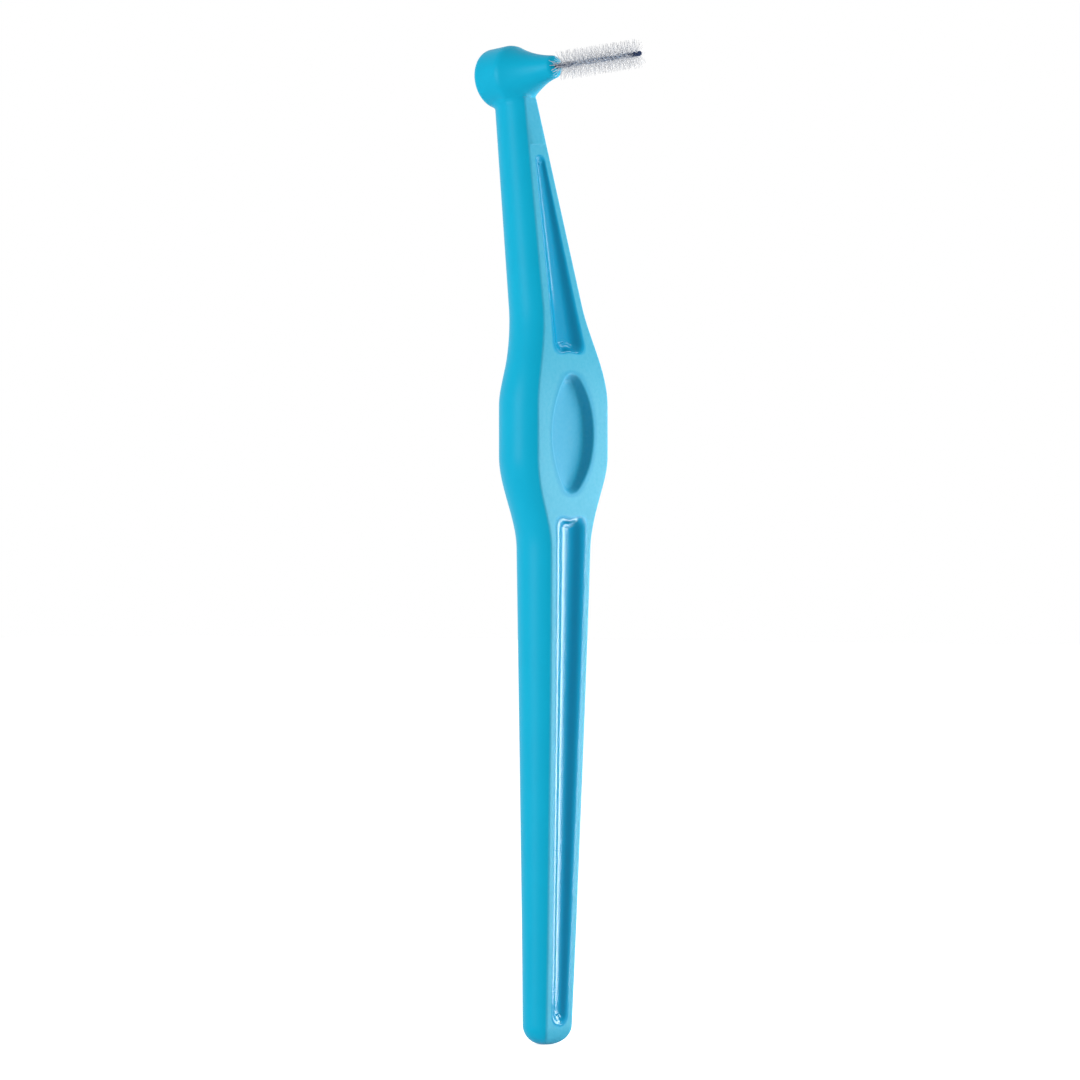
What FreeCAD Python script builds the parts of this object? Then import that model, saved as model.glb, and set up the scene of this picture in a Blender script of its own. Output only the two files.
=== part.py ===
"""Interdental brush with an angled head: one moulded handle, one folded and twisted wire, trapped filaments.

The brush stands upright. Z runs up the handle from its rounded end, X is the way the brush points,
and the handle is symmetric about the XZ plane. Millimetres and degrees.
"""
import FreeCAD, Part
import math
import os
import re

import Sketcher

# Driving sizes
SIZES = {
    # Shaft: straight taper from the rounded end up to the grip, with a flat upright back
    "shaft_length": 58.5,
    "end_width": 4.4,
    "end_thickness": 3.7,
    "end_dome_height": 2.4,
    "end_flat_share": 0.4,
    "waist_width": 6.9,
    "waist_thickness": 5.55,
    # Grip: a swollen pad between two S-shaped flanks
    "flank_length": 12.0,
    "pad_length": 6.0,
    "grip_width": 12.4,
    "grip_thickness": 6.4,
    "grip_back_swell": 0.37,
    # Neck: leans away from the brush and narrows up to the axis of the head
    "neck_length": 27.9,
    "neck_lean": 10.34,
    "neck_bend_rise": 7.0,
    "neck_base_width": 6.9,
    "neck_base_thickness": 5.43,
    "neck_top_width": 1.45,
    "neck_top_thickness": 4.68,
    # Narrow sides of the handle: arcs that meet the flat faces at this angle
    "side_edge_angle": 47.0,
    # Head: a short drum with a domed back and a hollow bell down to the nose
    "head_radius": 3.65,
    "drum_length": 3.35,
    "dome_depth": 1.03,
    "dome_edge_round": 1.05,
    "rim_round": 0.9,
    "bell_length": 6.85,
    "bell_curve": 16.5,
    "nose_radius": 1.41,
    "head_lead": 0.57,
    "head_tilt": 7.7,
    "brush_tilt": 4.3,
    # Recesses in the front and back faces
    "groove_land": 0.9,
    "groove_depth": 1.0,
    "groove_corner": 1.3,
    "groove_floor_round": 0.75,
    "shaft_groove_rise": 4.8,
    "shaft_groove_foot": 2.7,
    "neck_groove_drop": 5.7,
    "neck_groove_height": 18.2,
    "oval_half_width": 4.0,
    "oval_half_height": 7.5,
    "oval_end_round": 2.2,
    "oval_depth": 1.1,
    "oval_wall_slope": 32.0,
    "recess_lead": 0.5,
    # Brush: one wire folded at the tip, its legs twisted round the filaments
    "strand_diameter": 0.24,
    "strand_sides": 6,
    "runs_per_turn": 7,
    "filament_diameter": 0.075,
    "filament_gap": 0.0125,
    "pinch_clearance": 0.03,
    "bore_clearance": 0.02,
    "fan_count": 18,
    "filaments_per_fan": 8,
    "filament_sides": 4,
    "bristle_diameter": 3.7,
    "nose_gap": 0.4,
    "bare_tip_length": 0.63,
    "wire_anchor_length": 3.5,
}

doc = FreeCAD.newDocument("interdental_brush")
sheet = doc.addObject("Spreadsheet::Sheet", "Sizes")
for row, (alias, number) in enumerate(SIZES.items(), start=1):
    sheet.set(f"A{row}", alias)
    sheet.set(f"B{row}", str(number))
    sheet.setAlias(f"B{row}", alias)
doc.recompute()


# Formulas
def bound(formula):
    """The formula with each size's name turned into a reference to its cell."""
    return re.sub(r"[a-z_]+", lambda word: f"Sizes.{word[0]}" if word[0] in SIZES else word[0], formula)


def value(formula):
    """The number that a formula gives with the sheet's present sizes."""
    return float(sheet.evalExpression(bound(formula)))


def bind(item, prop, formula):
    """Tie a property of an object to a formula of the sheet's sizes."""
    item.setExpression(prop, bound(formula))


# Heights of the handle's stations
GRIP_TOP = "(shaft_length + 2 * flank_length + pad_length)"
GRIP_MIDDLE = "(shaft_length + flank_length + pad_length / 2)"
HEAD_HEIGHT = f"({GRIP_TOP} + neck_length)"

# Back faces, as distances along X
SHAFT_BACK = "(-end_thickness / 2)"
NECK_BASE_BACK = f"({SHAFT_BACK} - neck_bend_rise * tan(neck_lean))"
NECK_TOP_BACK = f"({NECK_BASE_BACK} - neck_length * tan(neck_lean))"
GRIP_BACK = f"({SHAFT_BACK} - grip_back_swell)"

# The head's axis runs from the middle of the drum's front rim to the nose, and the brush axis on from there
RIM_X = f"({NECK_TOP_BACK} + neck_top_thickness / 2 + head_lead)"
NOSE_X = f"({RIM_X} + bell_length * cos(head_tilt))"
NOSE_HEIGHT = f"({HEAD_HEIGHT} + bell_length * sin(head_tilt))"

# The twisted pair: distance of each leg from the axis, half a turn of the twist and the length that shows
LEG_OFFSET = "(strand_diameter / 2 + filament_diameter / 2 + pinch_clearance)"
HALF_TURN = "(filaments_per_fan * (filament_diameter + filament_gap))"
WIRE_REACH = f"(nose_gap + fan_count * {HALF_TURN} + bare_tip_length)"


# Sketch helpers
def on_plane(body, name, role):
    """A new sketch on one of the body's own origin planes."""
    sketch = body.newObject("Sketcher::SketchObject", name)
    plane = next(item for item in body.Origin.OriginFeatures if item.Role == role)
    sketch.AttachmentSupport = [(plane, "")]
    sketch.MapMode = "FlatFace"
    return sketch


def constrain(sketch, kind, *places, name=None, formula=None):
    """Add a constraint; with a formula it also gets a name and follows the sheet."""
    if formula is None:
        sketch.addConstraint(Sketcher.Constraint(kind, *places))
        return
    index = sketch.addConstraint(Sketcher.Constraint(kind, *places, value(formula)))
    sketch.renameConstraint(index, name)
    bind(sketch, f"Constraints.{name}", formula)


START, END, CENTRE = range(1, 4)
H_AXIS, V_AXIS = range(-1, -3, -1)
ORIGIN = (H_AXIS, START)


def join_edges(sketch, count, kind="Tangent", corners=()):
    """Join each edge to the next where they were drawn together: tangent, or only touching at the corners."""
    for edge in range(count):
        following = (edge + 1) % count
        pairs = [(mine, other) for mine in (START, END) for other in (START, END)]
        gaps = [(sketch.getPoint(edge, mine) - sketch.getPoint(following, other)).Length for mine, other in pairs]
        mine, other = pairs[gaps.index(min(gaps))]
        constrain(sketch, "Coincident" if edge in corners else kind, edge, mine, following, other)


def handle_section(body, name, height, back, thickness, width):
    """A level section of the handle: flat front and back, and two sides that are arcs."""
    depth = value(thickness)
    half = value(f"({width}) / 2")
    crown = depth / 2 * math.tan(math.radians(value("side_edge_angle")) / 2)
    corners = [FreeCAD.Vector(*xy, 0) for xy in ((depth, -half), (depth, half), (0, half), (0, -half))]
    sketch = on_plane(body, name, "XY_Plane")
    sketch.addGeometry([
        Part.LineSegment(corners[0], corners[1]),
        Part.Arc(corners[1], FreeCAD.Vector(depth / 2, half + crown, 0), corners[2]),
        Part.LineSegment(corners[2], corners[3]),
        Part.Arc(corners[3], FreeCAD.Vector(depth / 2, -half - crown, 0), corners[0]),
    ])
    join_edges(sketch, 4, "Coincident")
    constrain(sketch, "Symmetric", 0, START, 0, END, H_AXIS)
    constrain(sketch, "Symmetric", 2, START, 2, END, H_AXIS)
    constrain(sketch, "PointOnObject", 2, START, V_AXIS)
    constrain(sketch, "Equal", 1, 3)
    constrain(sketch, "Equal", 0, 2)
    constrain(sketch, "DistanceX", *ORIGIN, 0, END, name="thickness", formula=thickness)
    constrain(sketch, "DistanceY", 0, START, 0, END, name="width", formula=width)
    constrain(sketch, "Radius", 1, name="side_radius", formula=f"({thickness}) / 2 / sin(side_edge_angle)")
    bind(sketch, "AttachmentOffset.Base.x", back)
    bind(sketch, "AttachmentOffset.Base.z", height)
    return sketch


def blend(low, high, share):
    """The formula of a size that has gone this share of the way from one to another."""
    return f"({low} + ({high} - {low}) * {share})"


def add_loft(body, name, sections, ruled):
    """A solid through the sections, joined to the body."""
    loft = body.newObject("PartDesign::AdditiveLoft", name)
    loft.Profile = sections[0]
    loft.Sections = sections[1:]
    loft.Ruled = ruled
    doc.recompute()
    return loft


# Handle
def make_shaft(body):
    """The rounded end, quarter ellipses up from a small flat, and the straight taper above it."""
    def taper(low, high):
        return blend(low, high, "(end_dome_height / shaft_length)")

    dome_width = taper("end_width", "waist_width")
    dome_thickness = taper("end_thickness", "waist_thickness")
    dome = []
    for step, turn in enumerate((0, 22.5, 45, 67.5, 90)):
        share = f"(end_flat_share + (1 - end_flat_share) * sin({turn}))"
        inset = f"({dome_thickness} * (1 - {share}) / 2)"
        dome.append(handle_section(
            body, f"end_section_{step}",
            f"end_dome_height * (1 - cos({turn}))",
            f"{SHAFT_BACK} + {inset}",
            f"{dome_thickness} * {share}",
            f"{dome_width} * {share}",
        ))
    waist = handle_section(body, "waist_section", "shaft_length", SHAFT_BACK, "waist_thickness", "waist_width")
    between = []
    for step, share in enumerate((0.25, 0.5, 0.75)):
        between.append(handle_section(
            body, f"shaft_section_{step}", f"shaft_length * {share}", SHAFT_BACK,
            blend("end_thickness", "waist_thickness", share), blend("end_width", "waist_width", share)))
    add_loft(body, "rounded_end", dome, ruled=False)
    add_loft(body, "shaft", [dome[-1]] + between + [waist], ruled=True)
    return waist


def make_grip(body, waist):
    """The swollen pad: both flanks follow a smooth step, sampled at its quarter points."""
    quarter_steps = ((0.25, 0.15625), (0.5, 0.5), (0.75, 0.84375), (1.0, 1.0))
    sections = [waist]
    for step, (along, share) in enumerate(quarter_steps):
        sections.append(handle_section(
            body, f"lower_flank_{step}",
            f"shaft_length + flank_length * {along}",
            blend(SHAFT_BACK, GRIP_BACK, share),
            blend("waist_thickness", "grip_thickness", share),
            blend("waist_width", "grip_width", share),
        ))
    upper_start = f"({GRIP_TOP} - flank_length)"
    for step, (along, share) in enumerate(((0.0, 0.0),) + quarter_steps):
        lean = f"(max(0; neck_bend_rise - flank_length * (1 - {along})) * tan(neck_lean))"
        sections.append(handle_section(
            body, f"upper_flank_{step}",
            f"{upper_start} + flank_length * {along}",
            f"{blend(GRIP_BACK, SHAFT_BACK, share)} - {lean}",
            blend("grip_thickness", "neck_base_thickness", share),
            blend("grip_width", "neck_base_width", share),
        ))
    add_loft(body, "grip", sections, ruled=False)
    return sections[-1]


def make_neck(body, base):
    """The straight neck, up to the height of the head's axis."""
    middle = handle_section(
        body, "neck_middle", f"{GRIP_TOP} + neck_length / 2", blend(NECK_BASE_BACK, NECK_TOP_BACK, 0.5),
        blend("neck_base_thickness", "neck_top_thickness", 0.5), blend("neck_base_width", "neck_top_width", 0.5))
    top = handle_section(body, "neck_top", HEAD_HEIGHT, NECK_TOP_BACK, "neck_top_thickness", "neck_top_width")
    add_loft(body, "neck", [base, middle, top], ruled=True)


def on_tilted_axis(body, name, along_x, height, tilt):
    """A sketch in the XZ plane whose own X axis starts at a place and is tilted upwards."""
    sketch = on_plane(body, name, "XZ_Plane")
    upright = FreeCAD.Vector(0, 0, 1)
    sketch.AttachmentOffset = FreeCAD.Placement(
        FreeCAD.Vector(value(along_x), value(height), 0), FreeCAD.Rotation(upright, value(tilt)))
    bind(sketch, "AttachmentOffset.Base.x", along_x)
    bind(sketch, "AttachmentOffset.Base.y", height)
    bind(sketch, "AttachmentOffset.Rotation.Angle", f"{tilt} * 1 deg")
    return sketch


def make_head(body):
    """Drum and bell in one revolved profile: dome, edge, drum, rim, hollow flank, nose."""
    radius, drum, dome = value("head_radius"), value("drum_length"), value("dome_depth")
    edge, rim = value("dome_edge_round"), value("rim_round")
    length, nose = value("bell_length"), value("nose_radius")

    def at(x, y):
        return FreeCAD.Vector(x, y, 0)

    flank_start = at(rim * 0.8, radius - rim * 0.4)
    flank_middle = at(length * 0.45, nose + (radius - nose) * 0.42)
    sketch = on_tilted_axis(body, "head_profile", RIM_X, HEAD_HEIGHT, "head_tilt")
    sketch.addGeometry([
        Part.LineSegment(at(length, 0), at(-drum - dome, 0)),
        Part.Arc(at(-drum - dome, 0), at(-drum - dome * 0.8, radius * 0.4), at(-drum - dome * 0.5, radius - edge)),
        Part.Arc(at(-drum - dome * 0.5, radius - edge), at(-drum, radius - edge * 0.3), at(-drum + edge, radius)),
        Part.LineSegment(at(-drum + edge, radius), at(0, radius)),
        Part.Arc(at(0, radius), at(rim * 0.5, radius - rim * 0.15), flank_start),
        Part.Arc(flank_start, flank_middle, at(length, nose)),
        Part.LineSegment(at(length, nose), at(length, 0)),
    ])
    join_edges(sketch, 7, corners=(0, 5, 6))
    constrain(sketch, "PointOnObject", 0, START, H_AXIS)
    constrain(sketch, "PointOnObject", 0, END, H_AXIS)
    constrain(sketch, "PointOnObject", 1, CENTRE, H_AXIS)
    constrain(sketch, "Vertical", 6)
    constrain(sketch, "Horizontal", 3)
    constrain(sketch, "DistanceX", 0, END, *ORIGIN, name="back_reach", formula="drum_length + dome_depth")
    constrain(sketch, "DistanceX", *ORIGIN, 0, START, name="bell_length", formula="bell_length")
    constrain(sketch, "DistanceY", *ORIGIN, 3, END, name="head_radius", formula="head_radius")
    constrain(sketch, "DistanceX", *ORIGIN, 3, END, name="rim_place", formula="0")
    constrain(sketch, "DistanceY", *ORIGIN, 6, START, name="nose_radius", formula="nose_radius")
    dome_radius = "(head_radius ^ 2 + dome_depth ^ 2) / 2 / dome_depth"
    constrain(sketch, "Radius", 1, name="dome_radius", formula=dome_radius)
    constrain(sketch, "Radius", 2, name="dome_edge_round", formula="dome_edge_round")
    constrain(sketch, "Radius", 4, name="rim_round", formula="rim_round")
    constrain(sketch, "Radius", 5, name="bell_curve", formula="bell_curve")
    head = body.newObject("PartDesign::Revolution", "head")
    head.Profile = sketch
    head.ReferenceAxis = (sketch, ["H_Axis"])
    head.Angle = 360
    doc.recompute()


def make_wire_bore(body):
    """The round hole in the nose that the twisted wire is moulded into, cut from just in front of the nose."""
    deep, radius = value("wire_anchor_length + bore_clearance"), value(f"{LEG_OFFSET} + strand_diameter / 2")
    mouth = value("nose_gap")
    sketch = on_tilted_axis(body, "bore_profile", NOSE_X, NOSE_HEIGHT, "brush_tilt")
    corners = [
        FreeCAD.Vector(-deep, 0, 0), FreeCAD.Vector(mouth, 0, 0),
        FreeCAD.Vector(mouth, radius, 0), FreeCAD.Vector(-deep, radius, 0),
    ]
    sketch.addGeometry([Part.LineSegment(corners[i], corners[(i + 1) % 4]) for i in range(4)])
    join_edges(sketch, 4, "Coincident")
    constrain(sketch, "PointOnObject", 0, START, H_AXIS)
    constrain(sketch, "Horizontal", 0)
    constrain(sketch, "Vertical", 1)
    constrain(sketch, "Horizontal", 2)
    constrain(sketch, "Vertical", 3)
    constrain(sketch, "DistanceX", *ORIGIN, 0, END, name="mouth", formula="nose_gap")
    constrain(sketch, "DistanceX", 0, START, *ORIGIN, name="depth", formula="wire_anchor_length + bore_clearance")
    bore = f"{LEG_OFFSET} + strand_diameter / 2 + bore_clearance"
    constrain(sketch, "DistanceY", 1, START, 1, END, name="bore_radius", formula=bore)
    groove = body.newObject("PartDesign::Groove", "wire_bore")
    groove.Profile = sketch
    groove.ReferenceAxis = (sketch, ["H_Axis"])
    groove.Angle = 360
    doc.recompute()


def on_face(body, name, height, along_x, slope=None, leans_back=False):
    """A sketch standing in a flat face of the handle: its own X is the width, its own Y runs up the face."""
    sketch = on_plane(body, name, "YZ_Plane")
    turn_axis = FreeCAD.Vector(-1 if leans_back else 1, 0, 0)
    angle = value(f"atan({slope})") if slope else 0
    sketch.AttachmentOffset = FreeCAD.Placement(
        FreeCAD.Vector(0, value(height), value(along_x)), FreeCAD.Rotation(turn_axis, angle))
    bind(sketch, "AttachmentOffset.Base.y", height)
    bind(sketch, "AttachmentOffset.Base.z", along_x)
    if slope:
        bind(sketch, "AttachmentOffset.Rotation.Angle", f"atan({slope})")
    return sketch


def groove_outline(sketch, up, length, square_width, round_width):
    """A tapered slot from a squarer end at the sketch's origin to a round end above it (up 1) or below it (up -1)."""
    reach, corner = value(length), value("groove_corner")
    half, small = value(square_width) / 2, value(round_width) / 2

    def at(x, y):
        return FreeCAD.Vector(x, y * up, 0)

    far = reach - small
    diagonal = math.sqrt(0.5)
    near_corner = corner * (1 - diagonal)
    sketch.addGeometry([
        Part.LineSegment(at(-half + corner, 0), at(half - corner, 0)),
        Part.Arc(at(half - corner, 0), at(half - near_corner, near_corner), at(half, corner)),
        Part.LineSegment(at(half, corner), at(small, far)),
        Part.Arc(at(small, far), at(0, reach), at(-small, far)),
        Part.LineSegment(at(-small, far), at(-half, corner)),
        Part.Arc(at(-half, corner), at(-half + near_corner, near_corner), at(-half + corner, 0)),
    ])
    join_edges(sketch, 6)
    constrain(sketch, "PointOnObject", 0, START, H_AXIS)
    constrain(sketch, "Symmetric", 0, START, 0, END, *ORIGIN)
    constrain(sketch, "PointOnObject", 3, CENTRE, V_AXIS)
    constrain(sketch, "Equal", 1, 5)
    constrain(sketch, "Radius", 1, name="corner", formula="groove_corner")
    constrain(sketch, "Radius", 3, name="round_end", formula=f"({round_width}) / 2")
    constrain(sketch, "DistanceX", 0, START, 0, END, name="flat", formula=f"{square_width} - 2 * groove_corner")
    centre_gap = f"{length} - ({round_width}) / 2"
    ends = (*ORIGIN, 3, CENTRE) if up > 0 else (3, CENTRE, *ORIGIN)
    constrain(sketch, "DistanceY", *ends, name="reach", formula=centre_gap)


def cut_recess(body, name, sketch, depth, from_front, wall_slope=None):
    """Cut the outline in to its depth, and clear what swells a little over its plane."""
    before = body.Shape.Volume
    pocket = body.newObject("PartDesign::Pocket", name)
    pocket.Profile = sketch
    pocket.SideType = "Two sides"
    bind(pocket, "Length", depth)
    bind(pocket, "Length2", "recess_lead")
    if wall_slope:
        bind(pocket, "TaperAngle", f"-{wall_slope} * 1 deg")
    pocket.Reversed = not from_front
    doc.recompute()
    assert pocket.Shape.Volume < before - 0.1, f"{name} cuts nothing"
    return pocket


def round_floor(body, pocket, sketch, from_front, round_width):
    """Round the foot of a groove's walls, all round its flat floor, no more than walls and floor have room for."""
    plane = sketch.getGlobalPlacement()
    inward = plane.Rotation.multVec(FreeCAD.Vector(0, 0, -1 if from_front else 1))
    floor_level = plane.Base.dot(inward) + value("groove_depth")

    def is_floor(face):
        level = isinstance(face.Surface, Part.Plane) and face.normalAt(0, 0).dot(inward) < -0.99
        return level and abs(face.CenterOfMass.dot(inward) - floor_level) < 1e-4

    floor = next(face for face in pocket.Shape.Faces if is_floor(face))
    names = []
    for number, edge in enumerate(pocket.Shape.Edges, start=1):
        if any(edge.isSame(own) for own in floor.OuterWire.Edges):
            names.append(f"Edge{number}")
    rounding = body.newObject("PartDesign::Fillet", f"{pocket.Name}_floor")
    rounding.Base = (pocket, names)
    room = f"min(0.9 * groove_depth; 0.9 * groove_corner; 0.49 * {round_width})"
    bind(rounding, "Radius", f"min(groove_floor_round; {room})")
    doc.recompute()


def make_recesses(body):
    """The shaft groove, the neck groove and the oval, in the front face and again in the back face."""
    shaft_slope = "(waist_thickness - end_thickness) / shaft_length"
    shaft_top = "(shaft_length + shaft_groove_rise)"
    shaft_length = f"({shaft_top} - shaft_groove_foot)"
    width_slope = "(waist_width - end_width) / shaft_length"
    square_width = "(waist_width - 2 * groove_land)"
    foot_width = f"(end_width + {width_slope} * shaft_groove_foot - 2 * groove_land)"
    neck_foot = f"({GRIP_TOP} - neck_groove_drop)"
    neck_length = "(neck_groove_drop + neck_groove_height)"
    neck_narrowing = "(neck_base_width - neck_top_width) / neck_length"
    neck_tip_width = f"(neck_base_width - {neck_narrowing} * neck_groove_height - 2 * groove_land)"
    back_slope = "tan(neck_lean)"
    front_slope = f"({back_slope} + (neck_base_thickness - neck_top_thickness) / neck_length)"
    for side, from_front in (("front", True), ("back", False)):
        thick = 1 if from_front else 0
        shaft_x = f"({SHAFT_BACK} + {thick} * (end_thickness + {shaft_slope} * {shaft_top}))"
        sketch = on_face(body, f"{side}_shaft_groove_outline", shaft_top, shaft_x, shaft_slope if thick else None)
        groove_outline(sketch, -1, shaft_length, square_width, foot_width)
        pocket = cut_recess(body, f"{side}_shaft_groove", sketch, "groove_depth", from_front)
        round_floor(body, pocket, sketch, from_front, foot_width)
        slope = front_slope if from_front else back_slope
        neck_x = f"({NECK_BASE_BACK} + {thick} * neck_base_thickness + {slope} * neck_groove_drop)"
        sketch = on_face(body, f"{side}_neck_groove_outline", neck_foot, neck_x, slope, leans_back=True)
        groove_outline(sketch, 1, neck_length, square_width, neck_tip_width)
        pocket = cut_recess(body, f"{side}_neck_groove", sketch, "groove_depth", from_front)
        round_floor(body, pocket, sketch, from_front, neck_tip_width)
        oval_x = f"({GRIP_BACK} + {thick} * grip_thickness)"
        sketch = on_face(body, f"{side}_oval_outline", GRIP_MIDDLE, oval_x)
        oval_outline(sketch)
        cut_recess(body, f"{side}_oval", sketch, "oval_depth", from_front, "oval_wall_slope")


def oval_outline(sketch):
    """An oval of four arcs: two long sides and two small ends, tangent where they meet."""
    half, tall, small = value("oval_half_width"), value("oval_half_height"), value("oval_end_round")
    side_formula = ("((oval_half_height - oval_end_round) ^ 2 + oval_half_width ^ 2 - oval_end_round ^ 2)"
                    " / 2 / (oval_half_width - oval_end_round)")
    side = value(side_formula)
    rise = (tall - small) / (side - small)
    join = FreeCAD.Vector(half - side + side * math.sqrt(1 - rise ** 2), side * rise, 0)

    def mirrored(x, y):
        return FreeCAD.Vector(join.x * x, join.y * y, 0)

    sketch.addGeometry([
        Part.Arc(mirrored(1, -1), FreeCAD.Vector(half, 0, 0), mirrored(1, 1)),
        Part.Arc(mirrored(1, 1), FreeCAD.Vector(0, tall, 0), mirrored(-1, 1)),
        Part.Arc(mirrored(-1, 1), FreeCAD.Vector(-half, 0, 0), mirrored(-1, -1)),
        Part.Arc(mirrored(-1, -1), FreeCAD.Vector(0, -tall, 0), mirrored(1, -1)),
    ])
    join_edges(sketch, 4)
    constrain(sketch, "PointOnObject", 0, CENTRE, H_AXIS)
    constrain(sketch, "PointOnObject", 1, CENTRE, V_AXIS)
    constrain(sketch, "PointOnObject", 2, CENTRE, H_AXIS)
    constrain(sketch, "Equal", 0, 2)
    constrain(sketch, "Equal", 1, 3)
    constrain(sketch, "Radius", 0, name="side_radius", formula=side_formula)
    constrain(sketch, "Radius", 1, name="end_radius", formula="oval_end_round")
    end_centre = "oval_half_height - oval_end_round"
    constrain(sketch, "DistanceY", *ORIGIN, 1, CENTRE, name="end_centre", formula=end_centre)


def make_handle():
    """The whole moulding."""
    body = doc.addObject("PartDesign::Body", "handle")
    body.Label = "handle"
    waist = make_shaft(body)
    grip_top = make_grip(body, waist)
    make_neck(body, grip_top)
    make_head(body)
    make_wire_bore(body)
    make_recesses(body)
    return body


# Brush
def brush_placement():
    """Where the brush stands: its own X axis leaves the middle of the nose along the tilted axis."""
    nose = FreeCAD.Vector(value(NOSE_X), 0, value(NOSE_HEIGHT))
    return FreeCAD.Placement(nose, FreeCAD.Rotation(FreeCAD.Vector(0, -1, 0), value("brush_tilt")))


def leg_point(x, side):
    """A point of one leg of the twisted wire, at a distance from the nose."""
    turn = math.pi * x / value(HALF_TURN)
    offset = value(LEG_OFFSET) * side
    return FreeCAD.Vector(x, offset * math.cos(turn), offset * math.sin(turn))


def make_wire():
    """One wire, up one leg, round the fold at the tip and down the other leg, in short mitred runs."""
    offset, radius = value(LEG_OFFSET), value("strand_diameter / 2")
    anchor = value("-wire_anchor_length")
    span = value(WIRE_REACH) - radius - offset - anchor
    runs = math.ceil(span / value(f"2 * {HALF_TURN} / runs_per_turn"))
    places = [anchor + span * i / runs for i in range(runs + 1)]
    up = [leg_point(x, 1) for x in places]
    down = [leg_point(x, -1) for x in reversed(places)]
    fold = []
    for turn in (45, 90, 135):
        across, ahead = math.cos(math.radians(turn)), math.sin(math.radians(turn))
        fold.append(FreeCAD.Vector(places[-1] + offset * ahead, up[-1].y * across, up[-1].z * across))
    path = Part.makePolygon(up + fold + down)
    face_on = FreeCAD.Rotation(FreeCAD.Vector(0, 0, 1), up[1] - up[0])
    sides = int(value("strand_sides"))
    turns = [2 * math.pi * i / sides for i in range(sides + 1)]
    corners = [FreeCAD.Vector(radius * math.cos(turn), radius * math.sin(turn), 0) for turn in turns]
    ring = Part.makePolygon([up[0] + face_on.multVec(corner) for corner in corners])
    right_corner = 1
    wire = doc.addObject("Part::Feature", "twisted_wire")
    wire.Label = "twisted_wire"
    wire.Shape = path.makePipeShell([ring], True, False, right_corner)
    wire.Placement = brush_placement()
    expected = Part.Face(ring).Area * path.Length
    assert abs(wire.Shape.Volume / expected - 1) < 0.02, "the wire is not its section times its length"
    return wire


def make_fan(number):
    """The filaments of one half turn, each lying across the axis between the two legs."""
    count = int(value("filaments_per_fan"))
    strands = []
    for index in range(count):
        along = f"(nose_gap + ({number} + ({index} + 0.5) / filaments_per_fan) * {HALF_TURN})"
        angle = f"({along} / {HALF_TURN} * 180)"
        strand = doc.addObject("Part::Prism", f"filament_{number + 1:02d}_{index + 1}")
        strand.Placement = FreeCAD.Placement(FreeCAD.Vector(), FreeCAD.Rotation(FreeCAD.Vector(1, 0, 0), 1))
        bind(strand, "Polygon", "filament_sides")
        bind(strand, "Circumradius", "filament_diameter / 2")
        bind(strand, "Height", "bristle_diameter")
        bind(strand, "Placement.Base.x", along)
        bind(strand, "Placement.Base.y", f"bristle_diameter / 2 * sin({angle})")
        bind(strand, "Placement.Base.z", f"-bristle_diameter / 2 * cos({angle})")
        bind(strand, "Placement.Rotation.Angle", f"{angle} * 1 deg")
        strands.append(strand)
    fan = doc.addObject("Part::Compound", f"bristle_fan_{number + 1:02d}")
    fan.Label = f"bristle_fan_{number + 1:02d}"
    fan.Links = strands
    fan.Placement = brush_placement()
    return fan


sub_parts = [make_handle(), make_wire()]
sub_parts += [make_fan(number) for number in range(int(value("fan_count")))]
doc.recompute()

# Nothing is written unless every object came out whole
for item in doc.Objects:
    assert not {"Invalid", "Error"} & set(item.State), f"{item.Label} failed: {item.State}"
os.makedirs("parts", exist_ok=True)
for sub_part in sub_parts:
    shape = sub_part.Shape
    assert not shape.isNull() and shape.isValid(), f"{sub_part.Label} has no valid shape"
    shape.exportStep(f"parts/{sub_part.Label}.step")
    print(sub_part.Label, len(shape.Solids), "solids", round(shape.Volume, 3), "cubic mm")
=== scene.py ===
# %% [markdown]
# # An angled interdental brush
# A turquoise moulded handle, a twisted wire and its filaments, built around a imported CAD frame.
# The lesson replaces the frame's plain solids with finer surfaces in the same places, at the same
# sizes but for small corrections. Each surface is a function of two parameters, worked out as whole
# arrays, so that edges can be rounded a little and every zone of the moulding has its own finish.

# %% Load the frame
import math
import bmesh
import bpy
import numpy as np
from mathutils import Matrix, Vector


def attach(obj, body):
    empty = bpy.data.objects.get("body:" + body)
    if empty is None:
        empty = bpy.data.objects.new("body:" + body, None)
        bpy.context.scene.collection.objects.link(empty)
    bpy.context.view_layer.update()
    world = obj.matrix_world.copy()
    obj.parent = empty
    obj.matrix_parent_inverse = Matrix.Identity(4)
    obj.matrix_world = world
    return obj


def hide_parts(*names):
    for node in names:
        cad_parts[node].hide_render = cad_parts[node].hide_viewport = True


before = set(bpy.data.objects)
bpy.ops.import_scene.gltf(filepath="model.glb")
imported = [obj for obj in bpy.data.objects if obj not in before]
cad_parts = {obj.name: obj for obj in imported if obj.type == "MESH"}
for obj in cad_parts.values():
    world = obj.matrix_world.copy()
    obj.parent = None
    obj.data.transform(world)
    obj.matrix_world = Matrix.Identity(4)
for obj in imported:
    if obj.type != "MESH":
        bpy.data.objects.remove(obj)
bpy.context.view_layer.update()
MM = 0.001

# %% [markdown]
# ## From grids to meshes
# Every piece below is a set of grids of points. A grid becomes quads by joining each point to its
# right neighbour and both to the row above. Grids that share a border are welded there, and a row
# drawn to one point closes a pole. Welding by distance is simpler than numbering shared points,
# and the borders are computed from the same values, so they meet exactly.

# %% Grid helpers
WELD_DISTANCE = 0.0001 * MM
EMPTY_DISTANCE = WELD_DISTANCE / 10


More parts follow.
